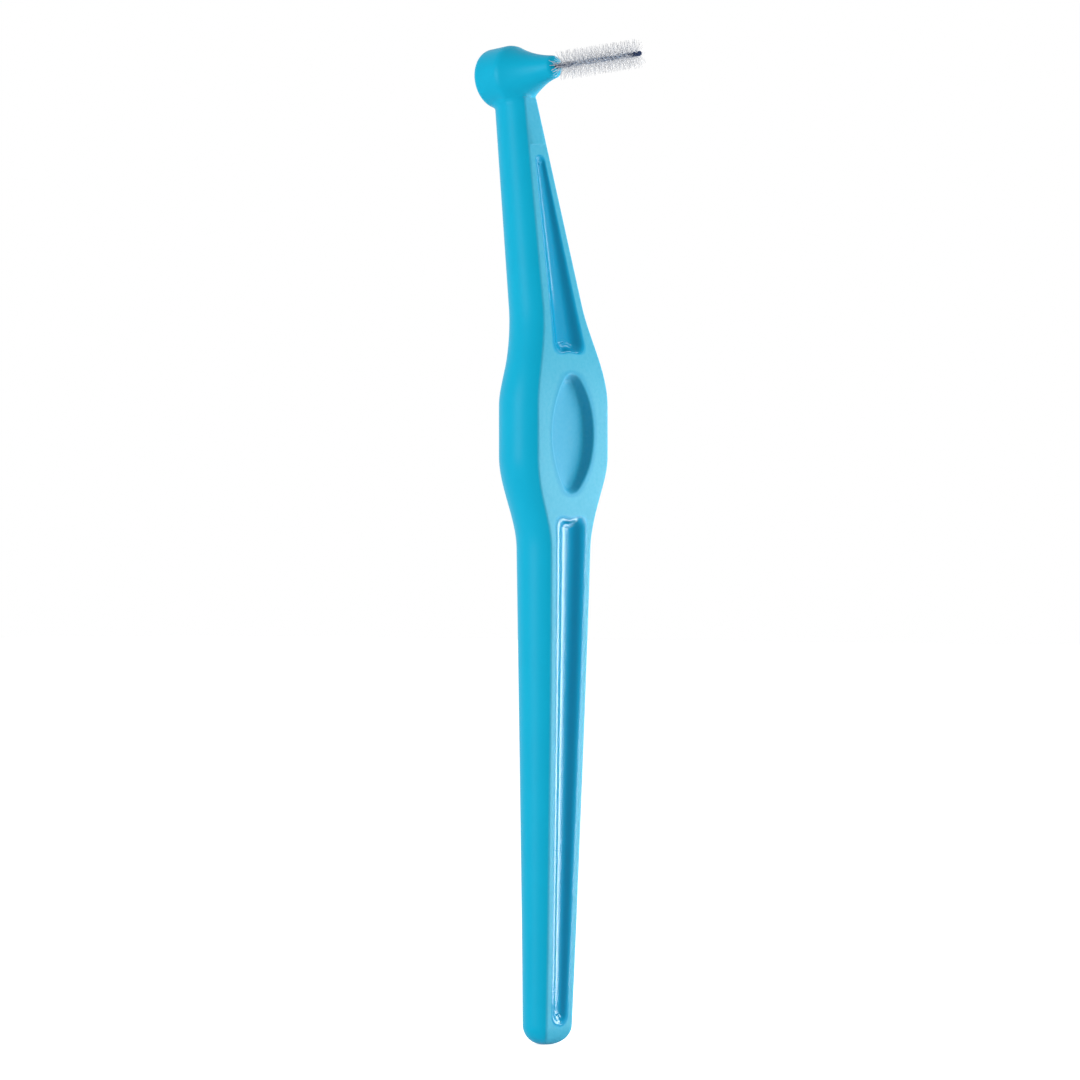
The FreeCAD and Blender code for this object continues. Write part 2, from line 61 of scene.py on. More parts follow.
def grid_quads(rows, columns, around=False):
    """Corner numbers of a grid's quads: point, right neighbour, and the two above them."""
    row = np.arange(rows - 1)[:, None] * columns
    column = np.arange(columns if around else columns - 1)[None, :]
    right = (column + 1) % columns
    corners = [row + column, row + right, row + columns + right, row + columns + column]
    return np.stack(corners, axis=-1).reshape(-1, 4)


def weld(mesh):
    """Merge shared borders and poles, drop empty faces, point all faces outwards, count open edges."""
    work = bmesh.new()
    work.from_mesh(mesh)
    bmesh.ops.remove_doubles(work, verts=work.verts, dist=WELD_DISTANCE)
    bmesh.ops.dissolve_degenerate(work, edges=work.edges, dist=EMPTY_DISTANCE)
    bmesh.ops.recalc_face_normals(work, faces=work.faces)
    open_edges = sum(not edge.is_manifold for edge in work.edges)
    work.to_mesh(mesh)
    work.free()
    return open_edges


def piece_from_grids(name, grids, zones=()):
    """One object from grids in mm: (points, around, zone values); zones name the values on the mesh."""
    points, quads, values, first = [], [], [], 0
    for grid, around, zone in grids:
        rows, columns = grid.shape[:2]
        points.append(grid.reshape(-1, 3) * MM)
        quads.append(grid_quads(rows, columns, around) + first)
        values.append(np.broadcast_to(zone, (rows, columns, len(zones))).reshape(rows * columns, len(zones)))
        first += rows * columns
    mesh = bpy.data.meshes.new(name)
    mesh.from_pydata(np.concatenate(points).tolist(), [], np.concatenate(quads).tolist())
    for column, zone_name in enumerate(zones):
        attribute = mesh.attributes.new(zone_name, "FLOAT", "POINT")
        attribute.data.foreach_set("value", np.concatenate(values)[:, column].astype(np.float32))
    open_edges = weld(mesh)
    mesh.shade_smooth()
    piece = bpy.data.objects.new(name, mesh)
    bpy.context.scene.collection.objects.link(piece)
    print(name, len(mesh.polygons), "faces", open_edges, "open edges")
    return piece

# %% [markdown]
# ## The lines of the handle
# The handle is one injection moulding: a tapered shaft, a swollen thumb grip and a neck that leans
# away from the brush. Seen from the side and from the front it is three lines along its height:
# where the flat front is, where the flat back is, and how wide the flat faces are. Each line is a
# cubic through a few stations, so the grip flows out of the straight taper. A station gives a
# height, the line's value there and its slope there.

# %% Lines along the height
SHAFT_FOOT, SHAFT_TOP, LOW_FLANK = 16.0, 59.5, 65.3
PAD_LOW, PAD_HIGH, HIGH_FLANK = 70.5, 76.5, 82.1
NECK_BEND, NECK_LOW, HEAD_AXIS = 82.4, 88.5, 116.4
GRIP_MIDDLE = (PAD_LOW + PAD_HIGH) / 2
NECK_LENGTH = HEAD_AXIS - NECK_LOW
END_WIDTH, SHAFT_TOP_WIDTH, GRIP_WIDTH, NECK_WIDTH, NECK_TOP_WIDTH = 4.4, 6.94, 12.4, 6.9, 1.45
SHAFT_WIDENS, NECK_NARROWS = 2.5 / 58.5, (NECK_TOP_WIDTH - NECK_WIDTH) / NECK_LENGTH
GRIP_FRONT, NECK_FRONT, NECK_FRONT_LEAN = 4.19, 2.53, -5.8 / NECK_LENGTH
GRIP_BACK, NECK_BACK, NECK_TOP_BACK = -2.22, -3.127, -8.177
NECK_BACK_LEAN = -5.05 / NECK_LENGTH
WIDTH = np.array([
    [0.0, END_WIDTH, SHAFT_WIDENS],
    [SHAFT_TOP, SHAFT_TOP_WIDTH, SHAFT_WIDENS],
    [PAD_LOW, GRIP_WIDTH, 0.0],
    [PAD_HIGH, GRIP_WIDTH, 0.0],
    [NECK_LOW, NECK_WIDTH, NECK_NARROWS],
    [HEAD_AXIS, NECK_TOP_WIDTH, NECK_NARROWS],
])
FRONT = np.array([
    [0.0, 1.86, 0.041],
    [SHAFT_FOOT, 2.5, 0.0335],
    [SHAFT_TOP, 3.84, 0.02],
    [LOW_FLANK, 3.9, 0.035],
    [PAD_LOW, GRIP_FRONT, 0.0],
    [PAD_HIGH, GRIP_FRONT, 0.0],
    [HIGH_FLANK, 3.78, -0.15],
    [NECK_LOW, NECK_FRONT, NECK_FRONT_LEAN],
    [HEAD_AXIS, NECK_FRONT + NECK_FRONT_LEAN * NECK_LENGTH, NECK_FRONT_LEAN],
])
BACK = np.array([
    [0.0, -2.0, 0.008],
    [SHAFT_FOOT, -1.87, 0.003],
    [SHAFT_TOP, -1.85, 0.0],
    [PAD_LOW, GRIP_BACK, 0.0],
    [PAD_HIGH, GRIP_BACK, 0.0],
    [NECK_BEND, -2.02, 0.6 * NECK_BACK_LEAN],
    [NECK_LOW, NECK_BACK, NECK_BACK_LEAN],
    [HEAD_AXIS, NECK_TOP_BACK, NECK_BACK_LEAN],
])
DOME_HEIGHT, DOME_FLAT_SHARE, DOME_BACKSET = 2.4, 0.12, 0.42
COLLAR_LINE, COLLAR_STEP, COLLAR_SOFTNESS = 113.8, 0.05, 0.04


def line_at(z, stations):
    """Cubic between stations: each end's value and slope weighted by the Hermite polynomials."""
    height, value, slope = stations.T
    low = np.clip(np.searchsorted(height, z, side="right") - 1, 0, len(height) - 2)
    span = height[low + 1] - height[low]
    t = (z - height[low]) / span
    start = (1 + 2 * t) * (1 - t) ** 2 * value[low] + t * (1 - t) ** 2 * span * slope[low]
    end = t ** 2 * (3 - 2 * t) * value[low + 1] - t ** 2 * (1 - t) * span * slope[low + 1]
    return start + end


def level_section(z):
    """Back, thickness and face width at a height: a quarter ellipse ends the foot, a step is the collar."""
    z = np.asarray(z, float)
    rise = np.clip(1 - z / DOME_HEIGHT, 0, 1)
    share = DOME_FLAT_SHARE + (1 - DOME_FLAT_SHARE) * np.sqrt(1 - rise ** 2)
    full = np.maximum(z, DOME_HEIGHT)
    thickness = line_at(full, FRONT) - line_at(full, BACK)
    back = line_at(full, BACK) + thickness * (1 - share) * DOME_BACKSET
    collar = COLLAR_STEP * (1 + np.tanh((z - COLLAR_LINE) / COLLAR_SOFTNESS))
    return back - collar / 2, thickness * share + collar, line_at(full, WIDTH) * share + collar


def face_line(z, front):
    """How far along X the front or the back face lies at a height."""
    back, thickness, _ = level_section(z)
    return back + thickness * front


print("grip is", round(float(level_section(GRIP_MIDDLE)[2]), 2), "mm across its flat face")

# %% [markdown]
# ## Sides and edges
# Seen in section the narrow sides are arcs that meet the flat faces at an angle, and the edge
# between them is struck with a small radius, because no moulding has a knife edge and that radius
# is what catches the light. The arc's centre and the edge's centre follow from tangency.

# %% The rounded sides
SIDE_ANGLE = math.radians(47.0)
EDGE_ROUND, EDGE_SHARE = 0.5, 0.9
EDGE_STEPS, SIDE_STEPS = 7, 24


def side_lines(z):
    """Middle plane; radius and centre of the side, then of the edge; the angle where the two meet."""
    back, thickness, width = level_section(z)
    half = thickness / 2
    radius = half / math.sin(SIDE_ANGLE)
    centre = width / 2 - radius * math.cos(SIDE_ANGLE)
    edge = np.minimum(EDGE_ROUND, EDGE_SHARE * half)
    edge_x = half - edge
    edge_y = centre + np.sqrt((radius - edge) ** 2 - edge_x ** 2)
    return back + half, radius, centre, edge, edge_x, edge_y, np.arcsin(edge_x / (radius - edge))


def face_edge(z):
    """Half the width of a flat face, up to where its edge starts to round."""
    *_, edge_y, _ = side_lines(z)
    return edge_y


def side_grid(z, hand):
    """One side: round the front edge, along the side arc, round the back edge; rows are heights."""
    middle, radius, centre, edge, edge_x, edge_y, turn = (value[:, None] for value in side_lines(z))
    bend = np.linspace(0, 1, EDGE_STEPS)
    edge_angle = math.pi / 2 + (turn - math.pi / 2) * bend
    side_angle = turn * np.linspace(1, -1, SIDE_STEPS)[1:-1]
    edge_out = edge_x + edge * np.sin(edge_angle)
    edge_up = edge_y + edge * np.cos(edge_angle)
    x = np.hstack([edge_out, radius * np.sin(side_angle), -edge_out[:, ::-1]])
    y = np.hstack([edge_up, centre + radius * np.cos(side_angle), edge_up[:, ::-1]])
    points = np.stack([middle + x, hand * y, np.broadcast_to(z[:, None], x.shape)], axis=-1)
    frost_and_sheen = np.hstack([1 - bend ** 2, np.zeros(SIDE_STEPS - 2), 1 - bend[::-1] ** 2])
    return points, False, np.stack([frost_and_sheen, np.zeros_like(frost_and_sheen)], axis=-1)


print("side radius at the grip", round(float(side_lines(np.array(GRIP_MIDDLE))[1]), 2), "mm")

# %% [markdown]
# ## Recess outlines
# The faces carry three recesses: a long slot in the shaft, an oval for the thumb and a slot in the
# neck. An outline is drawn once as its right half, from its lowest to its highest point, with the
# direction that faces outwards at each point, and the left half is its mirror image.

# %% Outlines in the plane of the face
SLOT_CORNER, END_DIP, END_STEPS = 1.3, 0.15, 14
ARC_STEP, LONG_ARC_STEP, LINE_STEP = math.radians(6), math.radians(2), 0.5


def arc(centre_y, centre_z, radius, start, stop, step=ARC_STEP):
    """Rows of Y, Z and outward direction along an arc; directions count from Y towards Z."""
    angle = np.linspace(start, stop, int(abs(stop - start) / step) + 2)
    return np.stack([centre_y + radius * np.cos(angle), centre_z + radius * np.sin(angle), angle], axis=-1)


def between(start, stop):
    """Rows evenly spaced between two rows, without the two."""
    count = int(np.hypot(*(stop - start)[:2]) / LINE_STEP) + 2
    return start + (stop - start) * np.linspace(0, 1, count)[1:-1, None]


def slot_half(square_z, round_z, half_width, end_radius):
    """Right half of a slot: round end, the line that touches both arcs, corner, an end that dips inwards."""
    reach = abs(square_z - round_z)
    across, along = half_width - SLOT_CORNER, reach - SLOT_CORNER - end_radius
    tangent = math.asin((end_radius - SLOT_CORNER) / math.hypot(across, along)) - math.atan2(across, along)
    low = arc(0, end_radius, end_radius, -math.pi / 2, tangent)
    high = arc(across, reach - SLOT_CORNER, SLOT_CORNER, tangent, math.pi / 2)
    swing = np.linspace(math.pi, 0, END_STEPS)[1:]
    slope = END_DIP * math.pi / 2 / across * np.sin(swing)
    dip = END_DIP * (1 + np.cos(swing)) / 2
    end = np.stack([across * swing / math.pi, reach - dip, math.pi / 2 + np.arctan(slope)], axis=-1)
    half = np.concatenate([low, between(low[-1], high[0]), high, end])
    if square_z > round_z:
        return half + [0, round_z, 0]
    return (half * [1, -1, -1] + [0, round_z, 0])[::-1]


def oval_half(middle_z, half_width, half_height, end_radius):
    """Right half of an oval of four arcs that touch: small ends and long sides."""
    rise = half_height - end_radius
    side_radius = (rise ** 2 + half_width ** 2 - end_radius ** 2) / 2 / (half_width - end_radius)
    meet = math.asin(rise / (side_radius - end_radius))
    low = arc(0, middle_z - rise, end_radius, -math.pi / 2, -meet)
    side = arc(half_width - side_radius, middle_z, side_radius, -meet, meet, LONG_ARC_STEP)
    high = arc(0, middle_z + rise, end_radius, meet, math.pi / 2)
    return np.concatenate([low, side[1:-1], high])


# the round foot is as wide as the face at LAND_HEIGHT, less a land on each side
SLOT_LAND, LAND_HEIGHT = 0.78, 2.7
FOOT_RADIUS = (END_WIDTH + SHAFT_WIDENS * LAND_HEIGHT) / 2 - SLOT_LAND
SHAFT_HALF_WIDTH, NECK_HALF_WIDTH, NECK_TIP_RADIUS = 2.7, 2.68, 0.84
SHAFT_SLOT = slot_half(square_z=63.3, round_z=2.25, half_width=SHAFT_HALF_WIDTH, end_radius=FOOT_RADIUS)
NECK_SLOT = slot_half(square_z=82.8, round_z=106.7, half_width=NECK_HALF_WIDTH, end_radius=NECK_TIP_RADIUS)
THUMB_OVAL = oval_half(middle_z=73.2, half_width=4.0, half_height=7.5, end_radius=2.2)
print("outlines with", len(SHAFT_SLOT), len(THUMB_OVAL), len(NECK_SLOT), "points in each half")

# %% [markdown]
# ## Faces with recesses
# Each recess sits in its own stretch of the face. Rings of points lead from the border of that
# stretch over the land to the lip and on down to the middle line. The slots are soft troughs with
# an S-shaped section. The oval is a pan with a soft lip, a straight wall, a round foot and a
# slightly dished floor. A pocket cut by a boolean would leave a sharp lip and long thin triangles;
# with rings that follow the outline the light runs cleanly along the lip and the foot.
#
# A section says how its lip goes in and down, what share of the rest of the way and of the rest
# of the depth each further ring takes, how deep it is, and how wide a half must be for all of that.

# %% Sections of the recesses
SLOT_DEPTH, TROUGH_POWER = 0.85, 2.6
LIP_STEPS, TROUGH_STEPS, FOOT_STEPS, FLOOR_STEPS = 14, 32, 8, 8


def soft_lip(length, turn):
    """Way in and depth along a lip whose slope grows with the square of the way along it."""
    way = np.linspace(0, 1, LIP_STEPS + 1)
    slope = math.radians(turn) * ((way[1:] + way[:-1]) / 2) ** 2
    step = length / len(slope)
    return np.append(0, np.cumsum(np.cos(slope))) * step, np.append(0, np.cumsum(np.sin(slope))) * step


def trough_section(half_width, wall_place):
    """A slot: a power of the share of the way in, put through an S-curve that starts and ends level."""
    share = np.linspace(0, 1, TROUGH_STEPS + 1)[1:]
    wall = share ** (wall_place * TROUGH_POWER)
    floor = (1 - share ** wall_place) ** TROUGH_POWER
    return np.zeros(1), np.zeros(1), share, wall / (wall + floor), SLOT_DEPTH, half_width


def pan_section(depth, lip_length, foot_round, wall_angle, dish, full_width):
    """The oval: soft lip, straight wall, foot arc and a floor that dishes down to the middle line."""
    inward, drop = soft_lip(lip_length, wall_angle)
    lean = math.radians(wall_angle)
    foot_depth = depth - dish
    turn = np.linspace(lean, 0, FOOT_STEPS + 1)
    foot_drop = foot_depth - foot_round * (1 - np.cos(turn))
    foot_start = inward[-1] + (foot_drop[0] - drop[-1]) / math.tan(lean)
    foot_in = foot_start + foot_round * (math.sin(lean) - np.sin(turn))
    share = np.linspace(0, 1, FLOOR_STEPS + 1)[1:]
    rest = 1 - (1 - share) ** 2
    return np.append(inward, foot_in), np.append(drop, foot_drop), share, rest, depth, full_width


SHAFT_SECTION = trough_section(SHAFT_HALF_WIDTH, wall_place=0.9)
NECK_SECTION = trough_section(NECK_HALF_WIDTH, wall_place=0.6)
OVAL_SECTION = pan_section(depth=1.1, lip_length=0.5, foot_round=0.5, wall_angle=58.0,
                           dish=0.1, full_width=1.5)
print("oval floor starts", round(OVAL_SECTION[0][-1], 2), "mm in from the outline")

# %% Recess rings
LAND_SHARES = np.linspace(0, 0.8, 5)
FLOOR_MARGIN = 1.0
# zone values are a frosted share, whose colour carries painted sheen, and a share of polish and
# painted shade; the oval takes the deeper colour of the second share as painted shade, without gloss
LAND_ZONE, POLISHED_SLOT, PLAIN_OVAL = (1.0, 0.0), (0.0, 1.0), (1.0, 0.55)


def even_rows(rows, count):
    """The same line with its rows spread evenly along it."""
    length = np.append(0, np.cumsum(np.hypot(*np.diff(rows[:, :2], axis=0).T)))
    places = np.linspace(0, length[-1], count)
    return np.stack([np.interp(places, length, column) for column in rows.T], axis=-1)


def mirrored_loop(low, side, high):
    """A closed loop: the right half upwards, then its mirror image downwards."""
    right = np.concatenate([low[:-1], side, high[1:]])
    left = right[-2:0:-1] * [-1, 1, -1] + [0, 0, math.pi]
    return np.concatenate([right, left])


def border_loop(low_z, high_z, rows):
    """The border of a stretch of face, as a loop with as many points as the outline inside it."""
    reach = np.linspace(0, 1, END_STEPS + 1)
    ends = [np.stack([face_edge(z) * reach, np.full_like(reach, z), np.zeros_like(reach)], axis=-1)
            for z in (low_z, high_z)]
    side = np.stack([face_edge(rows), rows, np.zeros_like(rows)], axis=-1)
    return mirrored_loop(ends[0], side, ends[1][::-1])


def recess_grid(half, low_z, high_z, straight, section, finish, front):
    """Rings over the land and down the section, whose floor is parallel to the face's straight stretch."""
    inward, drop, share_in, rest, depth, full_width = section
    corner_low = np.argmin(np.abs(half[:, 2] + math.pi / 4))
    corner_high = np.argmin(np.abs(half[:, 2] - math.pi / 4))
    side = half[corner_low:corner_high + 1]
    loop = mirrored_loop(even_rows(half[:corner_low + 1], END_STEPS + 1), side,
                         even_rows(half[corner_high:], END_STEPS + 1))
    share = (side[:, 1] - side[0, 1]) / (side[-1, 1] - side[0, 1])
    rows = low_z + (high_z - low_z) * share
    border = border_loop(low_z, high_z, rows)
    out = np.stack([np.cos(loop[:, 2]), np.sin(loop[:, 2])], axis=-1)
    room = np.minimum(1, np.interp(loop[:, 1], side[:, 1], side[:, 0]) / full_width)
    cut = loop[None, :, :2] - (inward[:, None] * room)[..., None] * out
    land = border[None, :, :2] + (cut[0] - border[:, :2]) * LAND_SHARES[:, None, None]
    middle_z = np.clip(cut[-1, :, 1], side[0, 1] + FLOOR_MARGIN, side[-1, 1] - FLOOR_MARGIN)
    middle = np.stack([np.zeros(len(loop)), middle_z], axis=-1)
    floor = cut[-1] + (middle - cut[-1]) * share_in[:, None, None]
    plane = np.concatenate([land, cut, floor])
    lip = drop[:, None] * room
    bed = lip[-1] + (depth * room - lip[-1]) * rest[:, None]
    sunk = np.concatenate([np.zeros(land.shape[:2]), lip, bed]) / depth
    z = plane[..., 1]
    start, stop = straight
    slope = (face_line(stop, front) - face_line(start, front)) / (stop - start)
    inset = depth * math.sqrt(1 + slope ** 2) * (1 if front else -1)
    floor_line = face_line(start, front) + slope * (z - start) - inset
    x = face_line(z, front) * (1 - sunk) + floor_line * sunk
    zone = np.where(np.arange(len(plane))[:, None] < len(land), LAND_ZONE, finish)
    zone = np.broadcast_to(zone[:, None], (*x.shape, 2))
    return rows, (np.stack([x, plane[..., 0], z], axis=-1), True, zone)


FACE_BREAKS = (1.3, 64.5, 81.75, 107.5)
# outline, two heights between which the face is straight, section, zone values
RECESSES = (
    (SHAFT_SLOT, (5, 55), SHAFT_SECTION, POLISHED_SLOT),
    (THUMB_OVAL, (72, 75), OVAL_SECTION, PLAIN_OVAL),
    (NECK_SLOT, (90, 110), NECK_SECTION, POLISHED_SLOT),
)
face_grids, face_rows = [], []
for front in (1, 0):
    for (outline, straight, section, finish), low_z, high_z in zip(RECESSES, FACE_BREAKS, FACE_BREAKS[1:]):
        rows, grid = recess_grid(outline, low_z, high_z, straight, section, finish, front)
        face_grids.append(grid)
        face_rows.append(rows)
print("rings in each recess", [len(points) for points, _, _ in face_grids[:len(RECESSES)]])

# %% [markdown]
# ## The handle's shell
# Sides, faces with recesses, plain stretches of face at both ends and two small caps make one
# closed shell. The rows of the sides take their heights from the recess rings, so every border
# of a face has the same points as the side that it meets. A fine step crosses the front of the
# neck, where two inserts of the mould meet.

# %% Plain faces and caps
MOULD_LINE, MOULD_STEP, MOULD_SOFTNESS, MOULD_FADE = 108.0, 0.12, 0.05, 3
EDGE_FLATNESS = 6
CAP_SHARES, CAP_ZONE = np.array([0.0, 0.3, 0.6, 1.0]), (0.3, 0.0)


def plain_face(z, front):
    """A face with no recess: straight across, raised in front above the mould line and fading upwards."""
    reach = np.linspace(-1, 1, 2 * END_STEPS + 1)
    y = face_edge(z)[:, None] * reach
    above = z - MOULD_LINE
    fade = np.clip(1 - above / MOULD_FADE, 0, 1)
    rise = front * MOULD_STEP * fade * (1 + np.tanh(above / MOULD_SOFTNESS)) / 2
    x = face_line(z, front)[:, None] + rise[:, None] * (1 - reach ** EDGE_FLATNESS)
    points = np.stack([x, y, np.broadcast_to(z[:, None], y.shape)], axis=-1)
    return points, False, np.array(LAND_ZONE)


def cap(z):
    """The level section at one height, closed by rings drawn in to its middle."""
    height = np.array([z])
    front, back = plain_face(height, 1)[0][0], plain_face(height, 0)[0][0]
    right, left = side_grid(height, 1)[0][0], side_grid(height, -1)[0][0]
    loop = np.concatenate([front[:-1], right[:-1], back[:0:-1], left[:0:-1]])
    rings = loop + (loop.mean(axis=0) - loop) * CAP_SHARES[:, None, None]
    return rings, True, np.array(CAP_ZONE)


print("caps of", len(cap(0.0)[0][0]), "points round")

# %% Shell of shaft, grip and neck
DOME_ROWS, NECK_ROWS, STEP_ROWS, STEP_REACH = 14, 40, 11, 0.15
ZONES = ("frost_and_sheen", "polish_and_shade")
dome_rows = FACE_BREAKS[0] * (1 - np.cos(np.linspace(0, math.pi / 2, DOME_ROWS)))
neck_rows = np.linspace(FACE_BREAKS[-1], HEAD_AXIS, NECK_ROWS)
for line in (MOULD_LINE, COLLAR_LINE):
    neck_rows = np.union1d(neck_rows, line + np.linspace(-STEP_REACH, STEP_REACH, STEP_ROWS))
plain_grids = [plain_face(rows, front) for rows in (dome_rows, neck_rows) for front in (1, 0)]
front_rows = face_rows[:len(RECESSES)]
all_rows = np.concatenate([dome_rows, *(rows[1:] for rows in front_rows), neck_rows[1:]])
side_grids = [side_grid(all_rows, 1), side_grid(all_rows, -1)]
shell = [*face_grids, *plain_grids, *side_grids, cap(0.0), cap(HEAD_AXIS)]
handle = piece_from_grids("moulded_handle", shell, ZONES)

# %% [markdown]
# ## The head
# The head is a short drum with a domed back, and a flared bell that runs down to the nose where
# the wire comes out. It is round, so it is a profile turned about the head's own tilted axis.
# Each arc of the profile is found from what it touches, as a toolmaker would draw it. Under the
# bell a shallow keel swells down towards the neck, so the radius grows a little where it faces down.
# A boolean joins head and neck, because they cross at a slant and their grids share no points.

# %% Profile of drum and bell
HEAD_RADIUS, DRUM_LENGTH, DOME_DEPTH, DOME_EDGE, RIM_ROUND = 3.63, 3.09, 1.035, 0.93, 2.0
BELL_LENGTH, BELL_CURVE, NOSE_RADIUS, NOSE_EDGE, NOSE_FLAT = 7.15, 16.4, 1.41, 0.7, 0.5
BORE_RADIUS, BORE_DEPTH, BORE_EDGE = 0.33, 0.6, 0.03
DOME_POINTS, ROUND_POINTS, DRUM_POINTS, BELL_POINTS = 10, 14, 6, 34


def turn_arc(centre, radius, start, stop, count):
    """Points along the axis and out from it on an arc; directions count from the axis outwards."""
    angle = np.radians(np.linspace(start, stop, count))
    return np.stack([centre[0] + radius * np.cos(angle), centre[1] + radius * np.sin(angle)], axis=-1)


def touching_centre(first, first_reach, second, second_reach):
    """The outer point at given distances from two points: where two circles cross."""
    first, second = np.array(first), np.array(second)
    gap = np.linalg.norm(second - first)
    ahead = (second - first) / gap
    along = (first_reach ** 2 - second_reach ** 2 + gap ** 2) / 2 / gap
    aside = math.sqrt(first_reach ** 2 - along ** 2)
    return first + along * ahead + aside * np.array([-ahead[1], ahead[0]])


dome_radius = (HEAD_RADIUS ** 2 + DOME_DEPTH ** 2) / 2 / DOME_DEPTH
dome_centre = np.array([dome_radius - DRUM_LENGTH - DOME_DEPTH, 0.0])
edge_y = HEAD_RADIUS - DOME_EDGE
edge_x = dome_centre[0] - math.sqrt((dome_radius - DOME_EDGE) ** 2 - edge_y ** 2)
dome_end = math.degrees(math.atan2(edge_y, edge_x - dome_centre[0]))
rim_centre = np.array([0.0, HEAD_RADIUS - RIM_ROUND])
nose_centre = np.array([BELL_LENGTH - NOSE_EDGE, NOSE_RADIUS - NOSE_EDGE])
bell_centre = touching_centre(rim_centre, RIM_ROUND + BELL_CURVE, nose_centre, NOSE_EDGE + BELL_CURVE)
rim_end = math.degrees(math.atan2(*(bell_centre - rim_centre)[::-1]))
nose_start = math.degrees(math.atan2(*(bell_centre - nose_centre)[::-1]))
bore_floor = BELL_LENGTH - BORE_DEPTH
drum_x = np.linspace(edge_x, 0, DRUM_POINTS)
drum = np.stack([drum_x, np.full_like(drum_x, HEAD_RADIUS)], axis=-1)
head_profile = np.concatenate([
    turn_arc(dome_centre, dome_radius, 180, dome_end, DOME_POINTS),
    turn_arc((edge_x, edge_y), DOME_EDGE, dome_end, 90, ROUND_POINTS)[1:],
    drum[1:-1],
    turn_arc(rim_centre, RIM_ROUND, 90, rim_end, ROUND_POINTS),
    turn_arc(bell_centre, BELL_CURVE, rim_end - 180, nose_start - 180, BELL_POINTS)[1:-1],
    turn_arc(nose_centre, NOSE_EDGE, nose_start, 0, ROUND_POINTS),
    [[BELL_LENGTH, NOSE_FLAT], [BELL_LENGTH, BORE_RADIUS + BORE_EDGE]],
    [[BELL_LENGTH - BORE_EDGE, BORE_RADIUS], [bore_floor, BORE_RADIUS], [bore_floor, 0.0]],
])
print("head profile of", len(head_profile), "points, bell starts at", round(rim_end), "degrees")

# %% Turn the profile and join it to the neck
RIM = np.array([-5.574, 0.0, HEAD_AXIS])
ACROSS = np.array([0.0, 1.0, 0.0])
HEAD_TILT, TURN_STEPS = 7.2, 128
KEEL_DEPTH, KEEL_PLACE, KEEL_REACH = 0.8, 2.8, 2.2
SATIN_ZONE = np.array([0.0, 0.0])


def tilted_axes(degrees):
    """The direction along an axis tilted up from X in the XZ plane, and the one square to it."""
    tilt = math.radians(degrees)
    return np.array([math.cos(tilt), 0.0, math.sin(tilt)]), np.array([-math.sin(tilt), 0.0, math.cos(tilt)])


HEAD_AHEAD, HEAD_UP = tilted_axes(HEAD_TILT)


def keel(ahead, radius, upward):
    """How far the bell sags towards the neck: a hump along the axis, strongest straight down."""
    hump = KEEL_DEPTH * np.exp(-((ahead - KEEL_PLACE) / KEEL_REACH) ** 2)
    return hump * (radius / HEAD_RADIUS) ** 2 * np.clip(-upward, 0, 1) ** 2


def turned(profile, steps):
    """A profile turned about the head's axis: its radius and the keel in each direction round the axis."""
    angle = np.linspace(0, 2 * math.pi, steps, endpoint=False)
    round_axis = np.cos(angle)[:, None] * ACROSS + np.sin(angle)[:, None] * HEAD_UP
    ahead, radius = profile[:, :1], profile[:, 1:]
    reach = radius + keel(ahead, radius, np.sin(angle))
    return RIM + ahead[..., None] * HEAD_AHEAD + reach[..., None] * round_axis


head = piece_from_grids("head", [(turned(head_profile, TURN_STEPS), True, SATIN_ZONE)], ZONES)
joining = handle.modifiers.new("join_head", "BOOLEAN")
joining.operation, joining.solver, joining.object = "UNION", "EXACT", head
joined = bpy.data.meshes.new_from_object(handle.evaluated_get(bpy.context.evaluated_depsgraph_get()))
handle.modifiers.clear()
handle.data = joined
bpy.data.objects.remove(head)
print("joined handle has", len(joined.polygons), "faces")

# %% [markdown]
# ## The seam between neck and head
# The mould's corner between neck and head is not quite sharp. Points near the seam are drawn
# towards the mean of their neighbours many times, which leaves a small fillet. It reaches further
# above the collar, where the neck flows into the bell. To find the seam, the head's points are told
# from the neck's by their distance from the axis. From the collar up all is satin.

# %% Points of the head and of the seam
NEAR = 0.01


def read(items, key, shape, kind=float):
    """A property of all points or edges as one array."""
    values = np.empty((len(items), *shape), kind)
    items.foreach_get(key, values.ravel())
    return values


places = read(joined.vertices, "co", (3,)) / MM
ends = read(joined.edges, "vertices", (2,), int)
ahead = (places - RIM) @ HEAD_AHEAD
out = np.linalg.norm(places - RIM - ahead[:, None] * HEAD_AHEAD, axis=1)
outer = head_profile[:np.argmax(head_profile[:, 0]) + 1]
surface = np.interp(ahead, *outer.T)
surface += keel(ahead, surface, (places - RIM) @ HEAD_UP / np.maximum(out, NEAR))
on_head = (ahead > outer[0, 0]) & (out < surface + NEAR)
crossing = ends[on_head[ends[:, 0]] != on_head[ends[:, 1]]]
seam = places[np.unique(crossing[on_head[crossing]])]
print(len(seam), "points on the seam,", int(on_head.sum()), "on the head")

# %% Soften the seam
SEAM_REACH, SEAM_PULL, SEAM_TURNS = 2.0, 0.5, 60
SHARE_BELOW, COLLAR_BLEND = 0.25, 0.4
SHARP_ANGLE = math.radians(38)
high = np.flatnonzero(places[:, 2] > MOULD_LINE)
from_seam = np.full(len(places), np.inf)
from_seam[high] = np.linalg.norm(places[high, None] - seam, axis=-1).min(axis=1)
above = np.clip((places[:, 2] - COLLAR_LINE) / COLLAR_BLEND, 0, 1)
reach_share = SHARE_BELOW + (1 - SHARE_BELOW) * above
pull = SEAM_PULL * np.clip(1 - from_seam / SEAM_REACH / reach_share, 0, 1)[:, None]
neighbours = np.bincount(ends.ravel(), minlength=len(places))[:, None]
for _ in range(SEAM_TURNS):
    total = np.zeros_like(places)
    np.add.at(total, ends[:, 0], places[ends[:, 1]])
    np.add.at(total, ends[:, 1], places[ends[:, 0]])
    places += pull * (total / neighbours - places)
joined.vertices.foreach_set("co", (places * MM).ravel())
all_satin = on_head | (places[:, 2] > COLLAR_LINE)
